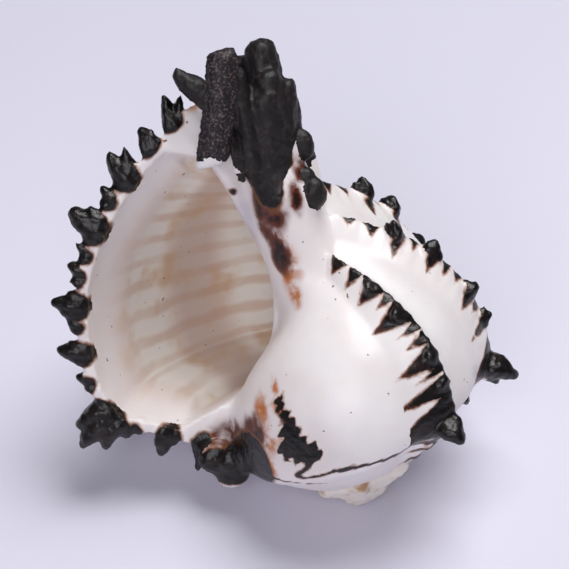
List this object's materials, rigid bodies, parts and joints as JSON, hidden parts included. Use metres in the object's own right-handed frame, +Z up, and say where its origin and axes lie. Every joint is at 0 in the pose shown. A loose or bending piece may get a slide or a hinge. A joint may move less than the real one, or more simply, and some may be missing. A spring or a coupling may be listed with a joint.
{
  "type": "murex shell",
  "caption": "Globose spiral sea snail shell with a wide open aperture, a short siphonal canal and rows of blunt black spines.",
  "frame": {"origin": "on the surface that the shell rests on, under the centre of its bounding box", "axes": "+Z up as it rests on the spire tip and two shoulder spines; -Y the side that the aperture faces; +X to the right of the aperture"},
  "size_m": [0.085, 0.0638, 0.0826],
  "materials": {
    "shell": "glossy porcelain white with black and brown spine rows"
  },
  "bodies": {
    "root": {"murex_shell": "shell"}
  },
  "joints": []
}
